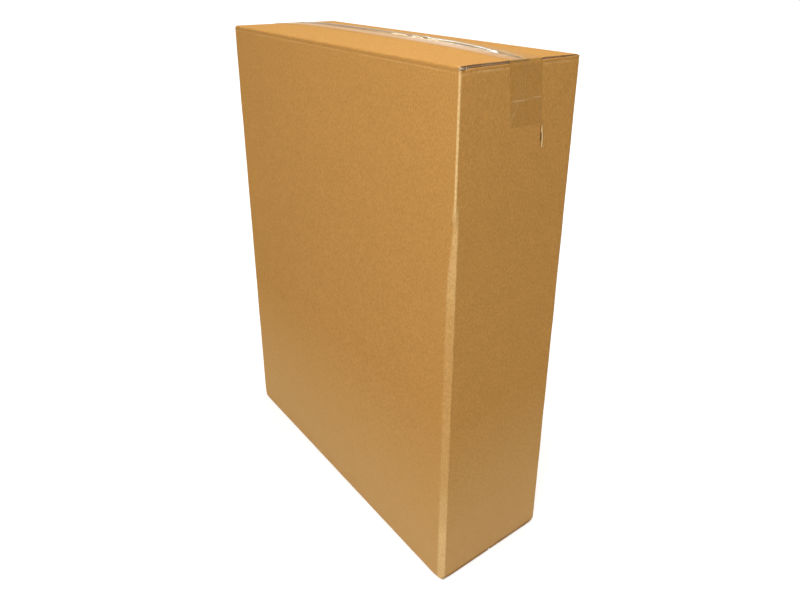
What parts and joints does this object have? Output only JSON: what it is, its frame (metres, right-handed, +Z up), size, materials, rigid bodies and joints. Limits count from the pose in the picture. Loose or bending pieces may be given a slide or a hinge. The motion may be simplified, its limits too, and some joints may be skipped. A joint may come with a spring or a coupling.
{
  "type": "corrugated shipping box",
  "caption": "Tall, slim slotted carton of double wall corrugated board, closed and taped along its top seam, with one crushed corner.",
  "frame": {"origin": "middle of the base", "axes": "+X along the wide panels, +Z up; the front is the wide panel that faces -Y"},
  "size_m": [0.8118, 0.276, 1.0659],
  "materials": {
    "board": "matt, natural kraft",
    "tape": "glossy brown film"
  },
  "bodies": {
    "root": {"carton": "board", "top_tape": "tape", "bottom_tape": "tape"}
  },
  "joints": []
}
